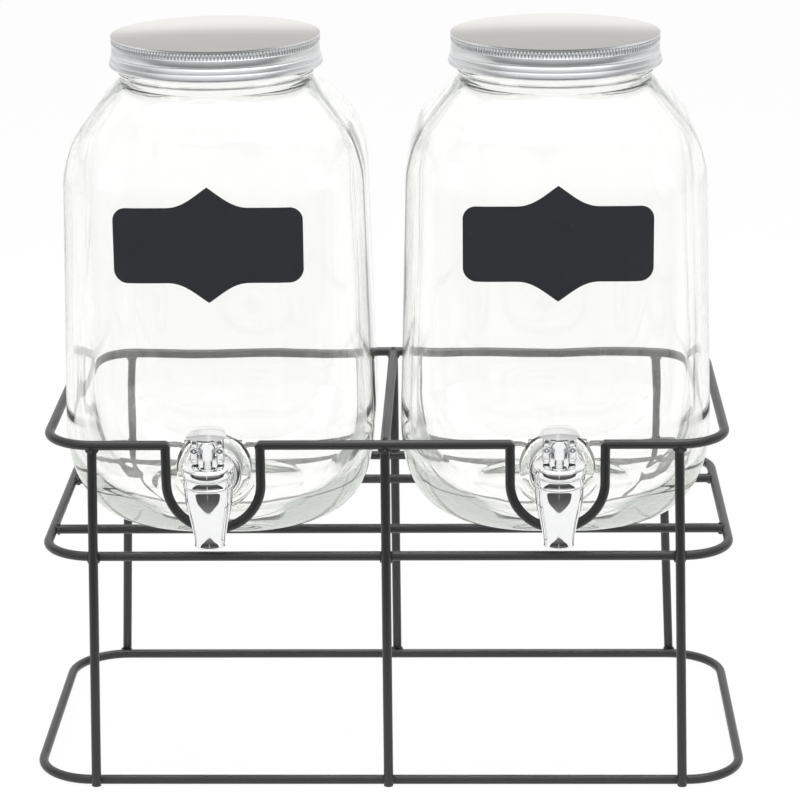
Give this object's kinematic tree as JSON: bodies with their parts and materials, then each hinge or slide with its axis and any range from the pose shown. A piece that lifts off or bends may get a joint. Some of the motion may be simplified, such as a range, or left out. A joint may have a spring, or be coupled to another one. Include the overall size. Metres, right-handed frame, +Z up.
{
  "type": "double beverage dispenser",
  "caption": "Double drink dispenser: square clear glass jars with metal screw lids, chalk labels and chrome lever taps, standing side by side in a black wire rack.",
  "frame": {"origin": "on the table under the middle of the base ring", "axes": "+X to the right of someone facing the taps, +Y to the back, +Z up"},
  "size_m": [0.381, 0.2253, 0.3882],
  "materials": {
    "black_wire": "satin black powder coat on steel wire",
    "clear_glass": "clear pressed soda-lime glass",
    "chalk_vinyl": "matt chalkboard vinyl",
    "lid_metal": "spun and brushed",
    "liner_foam": "soft white seal",
    "silicone": "translucent silicone",
    "nut_plastic": "moulded",
    "plated_plastic": "bright chrome plating on moulded plastic",
    "pin_steel": "ground pin"
  },
  "bodies": {
    "rack": {"base_ring": "black_wire", "shelf_ring": "black_wire", "top_rail": "black_wire", "front_rail_middle": "black_wire", "divider_bar": "black_wire", "left_tap_loop": "black_wire", "right_tap_loop": "black_wire", "front_left_leg": "black_wire", "front_middle_leg": "black_wire", "front_right_leg": "black_wire", "rear_left_leg": "black_wire", "rear_middle_leg": "black_wire", "rear_right_leg": "black_wire", "front_shelf_bar": "black_wire", "rear_shelf_bar": "black_wire"},
    "left_jar": {"left_glass_jar": "clear_glass", "left_chalk_label": "chalk_vinyl", "left_outer_washer": "silicone", "left_inner_washer": "silicone", "left_lock_nut": "nut_plastic", "left_tap_body": "plated_plastic", "left_tap_bonnet": "plated_plastic", "left_stem_seal": "silicone"},
    "left_valve": {"left_valve_stem": "plated_plastic", "left_valve_plug": "silicone"},
    "left_lever": {"left_tap_lever": "plated_plastic", "left_pivot_pin": "pin_steel"},
    "left_lid_seal": {"left_lid_liner": "liner_foam"},
    "left_lid": {"left_lid_cap": "lid_metal"},
    "right_jar": {"right_glass_jar": "clear_glass", "right_chalk_label": "chalk_vinyl", "right_outer_washer": "silicone", "right_inner_washer": "silicone", "right_lock_nut": "nut_plastic", "right_tap_body": "plated_plastic", "right_tap_bonnet": "plated_plastic", "right_stem_seal": "silicone"},
    "right_valve": {"right_valve_stem": "plated_plastic", "right_valve_plug": "silicone"},
    "right_lever": {"right_tap_lever": "plated_plastic", "right_pivot_pin": "pin_steel"},
    "right_lid_seal": {"right_lid_liner": "liner_foam"},
    "right_lid": {"right_lid_cap": "lid_metal"}
  },
  "joints": [
    {"name": "left_jar_lift", "type": "slide", "parent": "rack", "child": "left_jar", "axis": [0, 0, 1], "range_m": [0, 0.08]},
    {"name": "left_lid_lift", "type": "slide", "parent": "left_jar", "child": "left_lid_seal", "axis": [0, 0, 1], "range_m": [0, 0.11]},
    {"name": "left_lid_turn", "type": "hinge", "parent": "left_lid_seal", "child": "left_lid", "pos_m": [-0.089, 0, 0.38], "axis": [0, 0, 1], "range_deg": [0, 360]},
    {"name": "left_stem_lift", "type": "slide", "parent": "left_jar", "child": "left_valve", "axis": [0, 0, 1], "range_m": [0, 0.0044]},
    {"name": "left_lever_tilt", "type": "hinge", "parent": "left_valve", "child": "left_lever", "pos_m": [-0.089, -0.1146, 0.1944], "axis": [1, 0, 0], "range_deg": [0, 65]},
    {"name": "right_jar_lift", "type": "slide", "parent": "rack", "child": "right_jar", "axis": [0, 0, 1], "range_m": [0, 0.08]},
    {"name": "right_lid_lift", "type": "slide", "parent": "right_jar", "child": "right_lid_seal", "axis": [0, 0, 1], "range_m": [0, 0.11]},
    {"name": "right_lid_turn", "type": "hinge", "parent": "right_lid_seal", "child": "right_lid", "pos_m": [0.089, 0, 0.38], "axis": [0, 0, 1], "range_deg": [0, 360]},
    {"name": "right_stem_lift", "type": "slide", "parent": "right_jar", "child": "right_valve", "axis": [0, 0, 1], "range_m": [0, 0.0044]},
    {"name": "right_lever_tilt", "type": "hinge", "parent": "right_valve", "child": "right_lever", "pos_m": [0.089, -0.1146, 0.1944], "axis": [1, 0, 0], "range_deg": [0, 65]}
  ],
  "couplings": [
    {"joint": "left_stem_lift", "follows": "left_lever_tilt", "m_per_rad": 0.0038},
    {"joint": "right_stem_lift", "follows": "right_lever_tilt", "m_per_rad": 0.0038}
  ]
}
